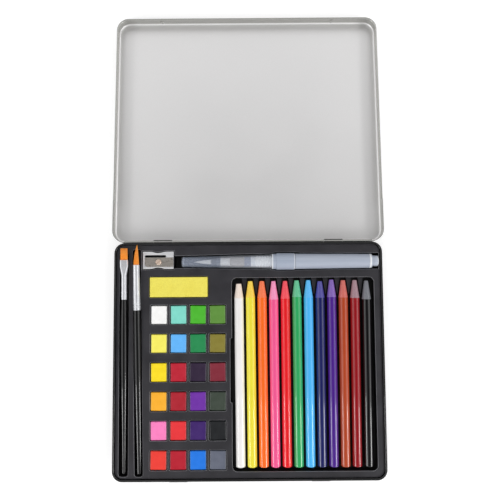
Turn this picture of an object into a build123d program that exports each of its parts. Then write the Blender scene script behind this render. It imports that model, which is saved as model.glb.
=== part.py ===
from build123d import *
import os
from math import asin, atan2, cos, degrees, hypot, pi, radians, sin

# Watercolour paint box, in millimetres: a shallow hinged tin that holds a formed
# plastic tray of paint cakes, woodless colour pencils, two brushes, a water
# brush, a sharpener and a sponge. It is drawn open, as it lies on a table.
# The origin is the centre of the tin's underside, +Y points to the hinge, +Z up.

# Tin, lower half
base_width = 212.0
base_depth = 184.0
base_height = 16.0
corner_radius = 8.0
sheet = 0.4               # thickness of the tinplate
tolerance = 0.01          # for picking a face by its height
foot_round = 1.6          # rounding between wall and bottom
rim_curl = 1.6            # width of the rim that is rolled inwards
rim_round = 0.67
stop_bead_x = 55.0        # the two beads that stop the lid, out from the centre
stop_bead_length = 14.0
stop_bead_radius = 1.2
stop_bead_drop = 1.6      # middle of a bead below the closed lid's rim

# Tin, lid
lid_height = 9.0
lid_gap = 0.35            # between the lid's curl and the lower half's wall
lid_curl = 1.1            # width of the lid's rim that is rolled inwards
lid_curl_height = 1.3
lid_curl_round = 0.6
lid_curl_stop = 33.0      # the curl ends this far in front of the hinge
lid_round = 1.5           # rounding between the lid's wall and its panel
dimple_x = 71.0           # the two snap dimples in the lid's front wall
dimple_radius = 0.9
dimple_height = 3.4
dimple_rise = 2.2         # from the hinge line up to a dimple, lid closed

# Hinge: two tongues of the lower half hook round the lid's rolled rear edge
hinge_drop = 0.7          # hinge line below the lower half's rim
hinge_bead = 0.7          # radius of the rolled edge
hinge_running = 0.08      # between the rolled edge and a tongue
tongue_x = 67.5
tongue_width = 14.4
tongue_reach = 3.0        # from the hinge line down to a tongue's lower end
tongue_bend = 0.35        # where a tongue turns away from the wall
tongue_wrap = 60.0        # how far a tongue hooks over the top, in degrees
slot_side = 0.7           # between a tongue and the ends of its slot
slot_over_tongue = 0.6    # between a tongue's far end and the slot's long side

# Formed tray
tray_top = 14.5
tray_sheet = 0.6
tray_clearance = 0.3      # between the tray and the lower half's rolled rim
tray_foot = 0.1           # between the tray's skirt and the tin's floor
tray_edge_round = 0.3
well_floor = 0.1          # between a thing and the floor of its well

# Paint cakes
cake_width = 12.6
cake_depth = 14.3
cake_thickness = 6.0
cake_corner = 0.6
cake_bevel = 0.5
cake_sunk = 0.6           # top of a cake below the tray's top
cake_settle = 0.25        # the cakes lie this far forward in their wells
cake_pitch_x = 15.35
cake_pitch_y = 22.35
cake_centre_x = -47.55    # middle of the block of cakes
cake_centre_y = -20.45
cake_slack_x = 0.55       # between a cake and its well, each side
cake_slack_y = 0.65
cake_turn = 1.0           # most that a cake is glued in askew, in degrees
cake_turn_step = 2.4      # spreads the cakes' turns, in radians from cake to cake
cake_well_corner = 1.2
cake_rows = [
    ["white", "mint", "leaf_green", "olive_green"],
    ["lemon", "sky_blue", "deep_green", "khaki"],
    ["yellow", "crimson", "violet_black", "maroon"],
    ["orange_yellow", "dark_red", "purple", "green_grey"],
    ["pink", "scarlet", "deep_violet", "black"],
    ["vermilion", "carmine", "blue", "grey"],
]

# Sponge
sponge_width = 45.6
sponge_depth = 15.8
sponge_thickness = 9.0
sponge_proud = 1.0        # top of the sponge above the tray's top
sponge_corner = 0.5
sponge_edge = 0.35
sponge_centre_x = -55.0
sponge_centre_y = 57.0
sponge_slack = 0.6
sponge_well_corner = 1.4

# Sharpener: a waisted wedge of cast metal with a screwed blade
sharpener_length = 24.3
sharpener_width = 13.8
sharpener_height = 11.0
sharpener_waist = 1.1     # depth of the waist, each side
sharpener_waist_span = 14.0
sharpener_proud = 0.2     # its top above the tray's top
sharpener_centre_x = -71.4
sharpener_centre_y = 78.3
sharpener_slack = 0.75
sharpener_edge = 0.4
cone_mouth = 4.0          # radius of the pencil's cone at its mouth
cone_tip = 0.7
cone_length = 22.6
cone_mouth_drop = 5.4     # the cone's axis below the top, at the mouth
cone_tip_drop = 1.8       # and at its tip
blade_length = 22.6
blade_width = 7.4
blade_thickness = 0.5
blade_offset_x = 0.7
blade_offset_y = -1.5
blade_corner = 2.4        # rounding of the blade's corners at the mouth's end
chip_slot_length = 17.0
chip_slot_width = 1.9
chip_slot_offset_x = -2.2
screw_head = 2.2
screw_head_height = 0.9
screw_head_round = 0.45
screw_slot_depth = 0.45
screw_shank = 1.2
screw_length = 4.2
screw_slot = 0.6
screw_turn = 35.0         # where its slot has stopped, in degrees
screw_clearance = 0.06

# Water brush: it lies along X with its cap to the left
water_y = 76.8
water_z = 12.5
cap_start = -52.6
cap_end = 18.4
cap_tip_radius = 4.1
cap_mouth_radius = 5.75
cap_wall = 0.8
cap_edge = 0.7            # slanting edge round its tip
cap_lip = 0.15            # the bead round the cap's mouth
cap_lip_length = 1.4
tuft_length = 14.0
tuft_start = -29.4        # where the water brush's hairs leave their nozzle
tuft_radius = 1.95
tuft_pinch = 0.16         # share of its width that the tuft keeps at its tip
tuft_short = 0.25         # share of its length by which the outer hairs end early
water_way = 0.9           # radius of the bore that the water comes through
nozzle_end = -14.5
nozzle_tip_radius = 2.6
nozzle_root_radius = 3.3
nozzle_rib_count = 3
nozzle_rib_place = 4.4    # the first rib, behind the nozzle's front
nozzle_rib_pitch = 1.6
nozzle_rib_height = 0.25
feed_end = -3.0
feed_radius = 3.7
feed_edge = 0.3
grip_radius = 4.05
grip_rib_count = 6
grip_rib_pitch = 2.1
grip_rib_height = 0.35
grip_rib_shape = (0.2, 0.6, 0.8)  # shares of the pitch: top, its end, foot
grip_edge = 0.15
collar_gap = 0.3          # between the cap's mouth and the collar
collar_step = 22.0
collar_end = 36.8
collar_small_radius = 6.15
collar_radius = 6.65
collar_edge = 0.4
reservoir_end = 96.6
reservoir_front_radius = 6.2
reservoir_rear_radius = 5.65
reservoir_wall = 1.0
reservoir_edge = 0.5
neck_radius = 4.4
neck_length = 8.0
neck_running = 0.08       # between the reservoir's neck and the collar's bore
plug_end = 102.9
plug_radius = 4.3
plug_flange = 1.2
plug_stub_length = 3.0
plug_edge = 0.5
channel_slack = 0.75      # between the water brush and its channel
channel_tip_slack = 0.85  # and beside the cap's tip
channel_step = 4.0        # the channel narrows over this length behind the collar
channel_floor = 0.5

# Brushes: each lies along the line from its heel to its tip
flat_heel = (-97.55, -87.5, 11.3)
flat_tip = (-98.2, 88.0, 15.9)
flat_hair = 9.4
flat_ferrule = 31.0
flat_hair_width = 5.9
flat_hair_thickness = 1.9
flat_ferrule_radius = 2.05
flat_ferrule_neck = (5.3, 2.7)    # this far from the mouth it is as wide, and so thick
flat_ferrule_round = 12.0         # from here to the handle it is round
flat_heel_radius = 1.65
flat_swell = [2.0, 2.48, 2.7, 2.58]
round_heel = (-85.57, -87.6, 11.0)
round_tip = (-88.6, 90.75, 16.75)
round_hair = 16.1
round_ferrule = 35.5
round_hair_radius = 2.1
round_hair_pinch = 0.18   # share of its width that the tuft keeps at its tip
round_hair_short = 0.2    # share of its length by which the outer hairs end early
round_ferrule_radius = 2.65
round_heel_radius = 2.2
round_swell = [2.45, 2.7, 2.85, 2.85]
swell_places = [0.25, 0.45, 0.65, 0.85]    # where the handles have those radii
heel_round = 1.1
ferrule_wall = 0.3
ferrule_slack = 0.05      # between a ferrule and what it holds
ferrule_bead = 0.2        # height of the crimped beads
ferrule_bead_pitch = 2.6
ferrule_bead_count = 2
peg_length = 9.0
peg_end_gap = 1.0         # the round ferrule's taper starts this far past the peg
hair_root = 2.4           # the hairs' glued root inside the ferrule
strand = 0.2              # width of a hair at its root
strand_pitch = 0.3
brush_slack = 0.5         # between a brush and the sides of its slot
brush_end_slack = 1.0
brush_slot_corner = 2.2
brush_overhang = 3.6      # the brushes' tips rise over the tray past their slots
brush_slot_floor = 7.9    # height of the slots' floor above the table

# Colour pencils
pencil_length = 144.4     # before any is worn off the tip
pencil_radius = 3.68
cone_slope = 0.148        # how fast a sharpened cone narrows
pencil_axis_z = 11.5
pencil_end_round = 0.7
pencil_tip_round = 0.35
pencil_tip_y = 62.1
first_pencil_tip_x = -7.8
pencil_tip_pitch = 9.22
first_pencil_end_x = -6.85
pencil_end_pitch = 9.05
pencils = [
    # Colour, worn off the tip, length of the bare cone
    ("white", 2.8, 11.3),
    ("yellow", 0.8, 12.8),
    ("orange", 0.8, 13.0),
    ("pink", 0.85, 14.5),
    ("red", 0.8, 13.9),
    ("green", 0.45, 13.1),
    ("sky_blue", 0.3, 13.8),
    ("navy", 1.25, 12.9),
    ("purple", 0.0, 13.7),
    ("rust", 0.55, 13.6),
    ("dark_red", 0.55, 13.9),
    ("black", 0.95, 14.7),
]
bay_side_slack = 1.77     # between the outer pencils and the bay's sides
bay_end_slack = 2.9       # beyond the pencils' ends
bay_tip_slack = 1.9       # beyond their tips
bay_corner = 4.0
notch_depth = 1.4         # finger notch in the bay's left side
notch_centre_y = -8.0
notch_length = 50.0
notch_corner = 1.26
rib_length = 13.0         # pointed ribs between the pencils' cones
rib_root = 4.3
rib_point = 0.7
rib_drop = 3.5            # top of a rib below the tray's top

# Places that follow from the sizes above
hinge_y = base_depth / 2 + sheet + hinge_bead + hinge_running
hinge_z = base_height - hinge_drop
lid_side = lid_gap + lid_curl + sheet
lid_width = base_width + 2 * lid_side
lid_front = -(hinge_y + base_depth / 2 + lid_side)
lid_depth = hinge_bead - lid_front
lid_middle = (hinge_bead + lid_front) / 2
lid_corner = corner_radius + lid_side
slot_height = hypot(tongue_reach, hinge_bead + hinge_running + sheet) + slot_over_tongue
tray_width = base_width - 2 * (rim_curl + tray_clearance)
tray_depth = base_depth - 2 * (rim_curl + tray_clearance)
tray_corner = corner_radius - rim_curl - tray_clearance
collar_start = cap_end + collar_gap
last_pencil = len(pencils) - 1

# The lid swings past flat until the far edge of its panel meets the table
panel_reach = -lid_front - lid_round
panel_rise = lid_height - hinge_bead - lid_round
past_flat = asin((hinge_z - lid_round) / hypot(panel_reach, panel_rise)) - atan2(panel_rise, panel_reach)
swing = pi + past_flat
# On this plane the lid is drawn as if closed, with its origin on the hinge line
lid_plane = Plane(
    origin=(0, hinge_y, hinge_z),
    x_dir=(1, 0, 0),
    z_dir=(0, sin(swing), cos(swing)),
)
lid_up = Axis(lid_plane.origin, lid_plane.z_dir)
print(f"lid opens {degrees(swing):.4f} degrees about y {hinge_y:.3f}, z {hinge_z:.3f}")

os.makedirs("parts", exist_ok=True)


def frame(plane, width, depth, corner, band, middle=0.0):
    """Rounded frame, one band wide, with its centre a little along the plane's Y."""
    with BuildSketch(plane) as face:
        with Locations((0, middle)):
            RectangleRounded(width, depth, corner)
            RectangleRounded(width - 2 * band, depth - 2 * band, corner - band, mode=Mode.SUBTRACT)
    return face.sketch


def outline(plane, *points):
    """Face inside a closed line through points on a plane."""
    with BuildSketch(plane) as face:
        with BuildLine():
            Polyline(*points, close=True)
        make_face()
    return face.sketch


# Lower half of the tin, drawn from one sheet, with its rim rolled inwards
with BuildPart() as base_tin:
    with BuildSketch(Plane.XY):
        RectangleRounded(base_width, base_depth, corner_radius)
    extrude(amount=base_height)
    fillet(base_tin.faces().sort_by(Axis.Z)[0].edges(), foot_round)
    offset(amount=-sheet, openings=base_tin.faces().sort_by(Axis.Z)[-1])
    rim_plane = Plane.XY.offset(base_height - rim_curl)
    extrude(frame(rim_plane, base_width, base_depth, corner_radius, rim_curl), amount=rim_curl)
    fillet(base_tin.faces().sort_by(Axis.Z)[-1].edges(), rim_round)
    rim_low = rim_plane.origin.Z - tolerance
    rim_under = base_tin.faces().filter_by_position(Axis.Z, rim_low, rim_low + 2 * tolerance)
    fillet(rim_under[0].inner_wires()[0].edges(), rim_round)
    for side in (-1, 1):
        with BuildSketch(Plane.YZ.offset(side * stop_bead_x - stop_bead_length / 2)):
            with Locations((-base_depth / 2, hinge_z - hinge_bead - stop_bead_drop)):
                Circle(stop_bead_radius)
                with Locations((stop_bead_radius, 0)):
                    Rectangle(2 * stop_bead_radius, 4 * stop_bead_radius, mode=Mode.SUBTRACT)
        extrude(amount=stop_bead_length)
base_tin.part.label = "base_tin"
export_step(base_tin.part, "parts/base_tin.step")

# Hinge tongues, welded to the lower half's rear wall
tongue_radius = hinge_bead + hinge_running + sheet / 2
for side, word in ((-1, "left"), (1, "right")):
    with BuildPart() as tongue:
        with BuildSketch(Plane.YZ.offset(side * tongue_x - tongue_width / 2)):
            with BuildLine():
                wall_y = base_depth / 2 + sheet / 2
                bend_z = hinge_z - tongue_radius - tongue_bend
                Line((wall_y, hinge_z - tongue_reach), (wall_y, bend_z))
                CenterArc((wall_y + tongue_bend, bend_z), tongue_bend, 180, -90)
                Line((wall_y + tongue_bend, bend_z + tongue_bend), (hinge_y, bend_z + tongue_bend))
                CenterArc((hinge_y, hinge_z), tongue_radius, -90, 90 + tongue_wrap)
            trace(line_width=sheet)
        extrude(amount=tongue_width)
    tongue.part.label = f"hinge_tongue_{word}"
    export_step(tongue.part, f"parts/hinge_tongue_{word}.step")

# The lid's rolled rim, on three of its sides
lid_rim_plane = lid_plane.offset(-hinge_bead)
with BuildSketch(lid_rim_plane) as curl_face:
    add(frame(Plane.XY, lid_width, lid_depth, lid_corner, sheet + lid_curl, lid_middle))
    with Locations((0, lid_width / 2 - lid_curl_stop)):
        Rectangle(2 * lid_width, lid_width, mode=Mode.SUBTRACT)
with BuildPart() as rolled_rim:
    extrude(curl_face.sketch, amount=lid_curl_height)
    rim_edges = rolled_rim.faces().sort_by(lid_up)[0].edges()
    fillet(rim_edges.filter_by(lambda edge: edge.length > 2 * (sheet + lid_curl)), lid_curl_round)

# Lid, drawn from one sheet, with slots for the tongues above its rolled rear edge
with BuildPart() as lid_tin:
    with BuildSketch(lid_rim_plane):
        with Locations((0, lid_middle)):
            RectangleRounded(lid_width, lid_depth, lid_corner)
    extrude(amount=lid_height)
    fillet(lid_tin.faces().sort_by(lid_up)[-1].edges(), lid_round)
    offset(amount=-sheet, openings=lid_tin.faces().sort_by(lid_up)[0])
    extrude(curl_face.sketch, amount=lid_curl_height, mode=Mode.SUBTRACT)
    add(rolled_rim.part)
    rear_edge = lid_width - 2 * lid_corner
    with BuildSketch(lid_rim_plane):
        with Locations((0, hinge_bead - sheet / 2)):
            Rectangle(rear_edge, 2 * sheet)
    extrude(amount=hinge_bead, mode=Mode.SUBTRACT)
    with BuildSketch(lid_plane):
        with Locations((-tongue_x, hinge_bead - sheet / 2), (tongue_x, hinge_bead - sheet / 2)):
            Rectangle(tongue_width + 2 * slot_side, 2 * sheet)
    extrude(amount=slot_height, mode=Mode.SUBTRACT)
    with BuildSketch(Plane(lid_plane.origin, x_dir=lid_plane.z_dir, z_dir=lid_plane.x_dir)):
        Circle(hinge_bead)
    extrude(amount=rear_edge / 2, both=True)
    with BuildSketch(lid_plane.offset(dimple_rise)):
        with Locations((-dimple_x, lid_front + sheet), (dimple_x, lid_front + sheet)):
            Circle(dimple_radius)
            with Locations((0, -dimple_radius - sheet / 2)):
                Rectangle(4 * dimple_radius, 2 * dimple_radius, mode=Mode.SUBTRACT)
    extrude(amount=dimple_height)
lid_tin.part.label = "lid_tin"
export_step(lid_tin.part, "parts/lid_tin.step")

# Outline of the sharpener, which its well in the tray follows
half_length = sharpener_length / 2
half_width = sharpener_width / 2
waist_x = sharpener_waist_span / 2
with BuildSketch(Plane.XY) as sharpener_face:
    with Locations((sharpener_centre_x, sharpener_centre_y)):
        Rectangle(sharpener_length, sharpener_width)
    for side in (-1, 1):
        side_y = sharpener_centre_y + side * half_width
        waist_y = side_y - side * sharpener_waist
        waist_start = Vector(sharpener_centre_x - waist_x, side_y)
        waist_end = Vector(sharpener_centre_x + waist_x, side_y)
        waist_middle = Vector(sharpener_centre_x, waist_y)
        with BuildLine():
            going_in = TangentArc(waist_start, (waist_start + waist_middle) / 2, tangent=(1, 0))
            bottom_left = TangentArc(going_in @ 1, waist_middle, tangent=going_in % 1)
            bottom_right = TangentArc(waist_middle, (waist_middle + waist_end) / 2, tangent=(1, 0))
            TangentArc(bottom_right @ 1, waist_end, tangent=bottom_right % 1)
            Line(waist_end, waist_start)
        make_face(mode=Mode.SUBTRACT)

# Wells of the tray: each is its outline at the tray's top and its floor's height
top_plane = Plane.XY.offset(tray_top)
cake_top = tray_top - cake_sunk
cake_floor = cake_top - cake_thickness - well_floor
cake_places = [
    (
        cake_centre_x + (column - (len(row) - 1) / 2) * cake_pitch_x,
        cake_centre_y - (line - (len(cake_rows) - 1) / 2) * cake_pitch_y,
        colour,
    )
    for line, row in enumerate(cake_rows)
    for column, colour in enumerate(row)
]
with BuildSketch(top_plane) as cake_wells:
    with Locations([(x, y) for x, y, colour in cake_places]):
        RectangleRounded(cake_width + 2 * cake_slack_x, cake_depth + 2 * cake_slack_y, cake_well_corner)

with BuildSketch(top_plane) as sponge_well:
    with Locations((sponge_centre_x, sponge_centre_y)):
        RectangleRounded(sponge_width + 2 * sponge_slack, sponge_depth + 2 * sponge_slack, sponge_well_corner)

with BuildSketch(top_plane) as sharpener_well:
    add(offset(sharpener_face.sketch, amount=sharpener_slack, mode=Mode.PRIVATE))

# The water brush's channel follows its widths, from the sharpener to the right
channel_widths = [
    (sharpener_centre_x + half_length - 2 * channel_slack, cap_tip_radius + channel_tip_slack),
    (cap_start, cap_tip_radius + channel_tip_slack),
    (cap_end - 2 * collar_gap, cap_mouth_radius + channel_slack),
    (collar_step, collar_radius + channel_slack),
    (collar_end, collar_radius + channel_slack),
    (collar_end + channel_step, reservoir_front_radius + channel_slack),
    (plug_end + channel_slack / 2, reservoir_rear_radius + channel_slack),
]
with BuildSketch(top_plane) as water_channel:
    with BuildLine():
        Polyline(
            *[(x, water_y + half) for x, half in channel_widths],
            *[(x, water_y - half) for x, half in reversed(channel_widths)],
            close=True,
        )
    make_face()
    fillet(water_channel.vertices(), channel_slack)
channel_floor_z = water_z - collar_radius - channel_floor


def brush_slot(heel, tip, half):
    """Long slot in line with a brush, which rises out of it near its tip."""
    along = (Vector(tip[0], tip[1]) - Vector(heel[0], heel[1])).normalized()
    slot_plane = Plane(origin=(heel[0], heel[1], tray_top), x_dir=along, z_dir=(0, 0, 1))
    front = -brush_end_slack
    rear = hypot(tip[0] - heel[0], tip[1] - heel[1]) - brush_overhang
    with BuildSketch(slot_plane) as slot:
        with Locations(((front + rear) / 2, 0)):
            RectangleRounded(rear - front, 2 * (half + brush_slack), brush_slot_corner)
    return slot.sketch


flat_slot = brush_slot(flat_heel, flat_tip, flat_hair_width / 2 + ferrule_wall)
round_slot = brush_slot(round_heel, round_tip, max(round_swell))

# The pencils' bay, with a finger notch on its left
bay_left = min(first_pencil_tip_x, first_pencil_end_x) - pencil_radius - bay_side_slack
bay_right = pencil_radius + bay_side_slack + max(
    first_pencil_tip_x + last_pencil * pencil_tip_pitch,
    first_pencil_end_x + last_pencil * pencil_end_pitch,
)
bay_floor = pencil_axis_z - pencil_radius - well_floor
bay_rear = pencil_tip_y + bay_tip_slack
bay_front = pencil_tip_y - pencil_length - bay_end_slack
with BuildSketch(top_plane) as pencil_bay:
    with Locations(((bay_left + bay_right) / 2, (bay_front + bay_rear) / 2)):
        RectangleRounded(bay_right - bay_left, bay_rear - bay_front, bay_corner)
    with Locations((bay_left, notch_centre_y)):
        RectangleRounded(2 * notch_depth, notch_length, notch_corner)

wells = [
    (cake_wells.sketch, cake_floor),
    (sponge_well.sketch, tray_top + sponge_proud - sponge_thickness - well_floor),
    (sharpener_well.sketch, tray_top + sharpener_proud - sharpener_height - well_floor),
    (water_channel.sketch, channel_floor_z),
    (flat_slot, brush_slot_floor),
    (round_slot, brush_slot_floor),
    (pencil_bay.sketch, bay_floor),
]
well_shells = [(offset(face, amount=tray_sheet), floor) for face, floor in wells]

# Tray, formed from one plastic sheet and open underneath
with BuildPart() as tray:
    tray_bottom = sheet + tray_foot
    with BuildSketch(Plane.XY.offset(tray_bottom)):
        RectangleRounded(tray_width, tray_depth, tray_corner)
    extrude(amount=tray_top - tray_bottom)
    offset(amount=-tray_sheet, openings=tray.faces().sort_by(Axis.Z)[0])
    for face, floor in well_shells:
        extrude(face, amount=-(tray_top - floor + tray_sheet))
    for face, floor in wells:
        extrude(face, amount=-(tray_top - floor), mode=Mode.SUBTRACT)
    fillet(tray.faces().sort_by(Axis.Z)[-1].edges(), tray_edge_round)
    for gap in range(last_pencil):
        rib_x = first_pencil_tip_x + (gap + 0.5) * pencil_tip_pitch
        rib = outline(
            Plane.XY.offset(bay_floor - tray_sheet / 2),
            (rib_x - rib_root / 2, bay_rear + tray_sheet / 2),
            (rib_x - rib_point / 2, bay_rear - rib_length),
            (rib_x + rib_point / 2, bay_rear - rib_length),
            (rib_x + rib_root / 2, bay_rear + tray_sheet / 2),
        )
        extrude(rib, amount=tray_top - rib_drop - bay_floor + tray_sheet / 2)
tray.part.label = "tray"
export_step(tray.part, "parts/tray.step")

# Paint cakes, glued in their wells, some a little askew
for number, (x, y, colour) in enumerate(cake_places):
    with BuildPart() as cake:
        askew = cake_turn * sin(cake_turn_step * number)
        with BuildSketch(Plane((x, y - cake_settle, cake_top - cake_thickness)).rotated((0, 0, askew))):
            RectangleRounded(cake_width, cake_depth, cake_corner)
        extrude(amount=cake_thickness)
        chamfer(cake.faces().sort_by(Axis.Z)[-1].edges(), cake_bevel)
    cake.part.label = f"cake_{colour}"
    export_step(cake.part, f"parts/cake_{colour}.step")

# Sponge
with BuildPart() as sponge:
    with BuildSketch(Plane.XY.offset(tray_top + sponge_proud - sponge_thickness)):
        with Locations((sponge_centre_x, sponge_centre_y)):
            RectangleRounded(sponge_width, sponge_depth, sponge_corner)
    extrude(amount=sponge_thickness)
    fillet(sponge.faces().sort_by(Axis.Z)[-1].edges(), sponge_edge)
sponge.part.label = "sponge"
export_step(sponge.part, "parts/sponge.step")

# Sharpener's body, with the pencil's cone, the chip slot and the screw's hole
sharpener_top = tray_top + sharpener_proud
screw_x = sharpener_centre_x + blade_offset_x / 2
screw_y = sharpener_centre_y + blade_offset_y
with BuildPart() as sharpener_body:
    with BuildSketch(Plane.XY.offset(sharpener_top - sharpener_height)):
        add(sharpener_face.sketch)
    extrude(amount=sharpener_height)
    fillet(sharpener_body.faces().sort_by(Axis.Z)[-1].edges(), sharpener_edge)
    mouth = Vector(sharpener_centre_x - half_length, sharpener_centre_y, sharpener_top - cone_mouth_drop)
    inner_end = mouth + Vector(cone_length, 0, cone_mouth_drop - cone_tip_drop)
    cone_plane = Plane(origin=mouth, x_dir=(0, 1, 0), z_dir=inner_end - mouth)
    with BuildSketch(cone_plane.offset(-cone_tip)):
        Circle(cone_mouth)
    with BuildSketch(cone_plane.offset(cone_length)):
        Circle(cone_tip)
    loft(mode=Mode.SUBTRACT)
    with BuildSketch(Plane.XY.offset(sharpener_top)):
        slot_y = sharpener_centre_y + blade_offset_y + (blade_width + chip_slot_width) / 2
        with Locations((sharpener_centre_x + chip_slot_offset_x, slot_y)):
            SlotOverall(chip_slot_length, chip_slot_width)
    extrude(amount=-cone_mouth_drop, mode=Mode.SUBTRACT)
    with BuildSketch(Plane.XY.offset(sharpener_top)):
        with Locations((sharpener_centre_x + blade_offset_x, sharpener_centre_y + blade_offset_y)):
            Rectangle(blade_length + 2 * screw_clearance, blade_width + 2 * screw_clearance)
    extrude(amount=-blade_thickness, mode=Mode.SUBTRACT)
    with BuildSketch(Plane.XY.offset(sharpener_top - blade_thickness)):
        with Locations((screw_x, screw_y)):
            Circle(screw_shank + screw_clearance)
    extrude(amount=-screw_length, mode=Mode.SUBTRACT)
sharpener_body.part.label = "sharpener_body"
export_step(sharpener_body.part, "parts/sharpener_body.step")

# Sharpener's blade, flush with the top
with BuildPart() as sharpener_blade:
    with BuildSketch(Plane.XY.offset(sharpener_top - blade_thickness)):
        with Locations((sharpener_centre_x + blade_offset_x, sharpener_centre_y + blade_offset_y)):
            Rectangle(blade_length, blade_width)
        with Locations((screw_x, screw_y)):
            Circle(screw_shank + screw_clearance, mode=Mode.SUBTRACT)
    extrude(amount=blade_thickness)
    fillet(sharpener_blade.edges().filter_by(Axis.Z).group_by(Axis.X)[0].sort_by(Axis.Y)[0], blade_corner)
sharpener_blade.part.label = "sharpener_blade"
export_step(sharpener_blade.part, "parts/sharpener_blade.step")

# Slotted screw that holds the blade
with BuildPart() as sharpener_screw:
    with BuildSketch(Plane((screw_x, screw_y, sharpener_top))):
        Circle(screw_head)
    extrude(amount=screw_head_height)
    fillet(sharpener_screw.faces().sort_by(Axis.Z)[-1].edges(), screw_head_round)
    head_top = Plane((screw_x, screw_y, sharpener_top + screw_head_height))
    with BuildSketch(head_top.rotated((0, 0, screw_turn))):
        Rectangle(3 * screw_head, screw_slot)
    extrude(amount=-screw_slot_depth, mode=Mode.SUBTRACT)
    with BuildSketch(Plane((screw_x, screw_y, sharpener_top))):
        Circle(screw_shank)
    extrude(amount=-screw_length)
sharpener_screw.part.label = "sharpener_screw"
export_step(sharpener_screw.part, "parts/sharpener_screw.step")


def tuft(plane, places, start, length, pinch, short):
    """Hairs from places on a plane; all draw in alike towards the tip, so none cross."""
    widest = max(hypot(x, y) for x, y in places)
    hairs = []
    for x, y in places:
        reach = 1 - short * (hypot(x, y) / widest) ** 2
        drawn_in = 1 - (1 - pinch) * reach
        root = plane.offset(start) * Location((x, y)) * Rectangle(strand, strand)
        tip_place = plane.offset(start + length * reach) * Location((x * drawn_in, y * drawn_in))
        end = tip_place * Rectangle(strand * drawn_in, strand * drawn_in)
        hairs.append(loft([root, end], ruled=True))
    return hairs


def round_places(radius):
    """Places on rings, one hair in the middle, that fill a circle."""
    places = [(0.0, 0.0)]
    rings = int((radius - strand) / strand_pitch)
    for ring in range(1, rings + 1):
        count = 6 * ring
        for step in range(count):
            angle = 2 * pi * (step + 0.5 * (ring % 2)) / count
            places.append((ring * strand_pitch * cos(angle), ring * strand_pitch * sin(angle)))
    return places


def lying(heel, tip):
    """Plane at a lying piece's heel, square to it: Z runs to its tip and X is level."""
    along = (Vector(*tip) - Vector(*heel)).normalized()
    return Plane(origin=heel, x_dir=along.cross(Vector(0, 0, 1)), z_dir=along)


def lengthwise(plane):
    """Upright plane along a lying piece: X runs along it, for sections to be turned."""
    return Plane(origin=plane.origin, x_dir=plane.z_dir, z_dir=plane.x_dir)


def handle_face(plane, length, heel_radius, swell, ferrule_radius):
    """Half section of a swelling wooden handle with the peg that its ferrule holds."""
    peg = ferrule_radius - ferrule_wall - ferrule_slack
    with BuildSketch(lengthwise(plane)) as face:
        with BuildLine():
            Line((0, 0), (0, heel_radius - heel_round))
            CenterArc((heel_round, heel_radius - heel_round), heel_round, 180, -90)
            Spline(
                (heel_round, heel_radius),
                *[(length * share, radius) for share, radius in zip(swell_places, swell)],
                (length, ferrule_radius),
            )
            Polyline(
                (length, ferrule_radius),
                (length, peg),
                (length + peg_length, peg),
                (length + peg_length, 0),
                (0, 0),
            )
        make_face()
    return face.sketch


# Flat brush: handle
flat_plane = lying(flat_heel, flat_tip)
flat_axis = Axis(flat_plane.origin, flat_plane.z_dir)
flat_length = (Vector(*flat_tip) - Vector(*flat_heel)).length
flat_handle_length = flat_length - flat_hair - flat_ferrule
flat_mouth = flat_length - flat_hair
with BuildPart() as flat_brush_handle:
    flat_handle_face = handle_face(
        flat_plane, flat_handle_length, flat_heel_radius, flat_swell, flat_ferrule_radius
    )
    revolve(flat_handle_face, axis=flat_axis)
flat_brush_handle.part.label = "flat_brush_handle"
export_step(flat_brush_handle.part, "parts/flat_brush_handle.step")

# Flat brush: ferrule, a round tube pressed flat at its mouth
flat_ferrule_width = 2 * flat_ferrule_radius + ferrule_slack
flat_mouth_width = flat_hair_width + 2 * ferrule_wall
neck_back, neck_thickness = flat_ferrule_neck
flat_sections = [
    (flat_handle_length, flat_ferrule_width, 2 * flat_ferrule_radius),
    (flat_mouth - flat_ferrule_round, flat_ferrule_width, 2 * flat_ferrule_radius),
    (flat_mouth - neck_back, flat_mouth_width, neck_thickness),
    (flat_mouth, flat_mouth_width, flat_hair_thickness + 2 * ferrule_wall),
]
with BuildPart() as flat_brush_ferrule:
    for along, width, thickness in flat_sections:
        with BuildSketch(flat_plane.offset(along)):
            SlotOverall(width, thickness)
    loft(ruled=True)
    for bead in range(ferrule_bead_count):
        middle = flat_handle_length + (bead + 1) * ferrule_bead_pitch
        with BuildSketch(flat_plane.offset(middle - ferrule_bead)):
            SlotOverall(flat_ferrule_width + 2 * ferrule_bead, 2 * (flat_ferrule_radius + ferrule_bead))
        extrude(amount=4 * ferrule_bead)
    for along, width, thickness in flat_sections:
        with BuildSketch(flat_plane.offset(along)):
            SlotOverall(width - 2 * ferrule_wall, thickness - 2 * ferrule_wall)
    loft(ruled=True, mode=Mode.SUBTRACT)
flat_brush_ferrule.part.label = "flat_brush_ferrule"
export_step(flat_brush_ferrule.part, "parts/flat_brush_ferrule.step")

# Flat brush: hairs, fused to their glued root
flat_columns = int(flat_hair_width / 2 / strand_pitch)
flat_rows = int(flat_hair_thickness / 2 / strand_pitch)
flat_places = [
    (column * strand_pitch, row * strand_pitch)
    for column in range(-flat_columns, flat_columns + 1)
    for row in range(-flat_rows, flat_rows + 1)
    if hypot(
        max(abs(column * strand_pitch) - (flat_hair_width - flat_hair_thickness) / 2, 0), row * strand_pitch
    ) < flat_hair_thickness / 2 - strand
]
flat_hairs = tuft(flat_plane, flat_places, flat_mouth - strand, flat_hair + strand, 1.0, 0.0)
with BuildPart() as flat_brush_hair:
    with BuildSketch(flat_plane.offset(flat_mouth - hair_root)):
        root_width = flat_hair_width - 2 * ferrule_slack - ferrule_wall
        SlotOverall(root_width, flat_hair_thickness - 2 * ferrule_slack)
    extrude(amount=hair_root)
    add(flat_hairs)
flat_brush_hair.part.label = "flat_brush_hair"
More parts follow.
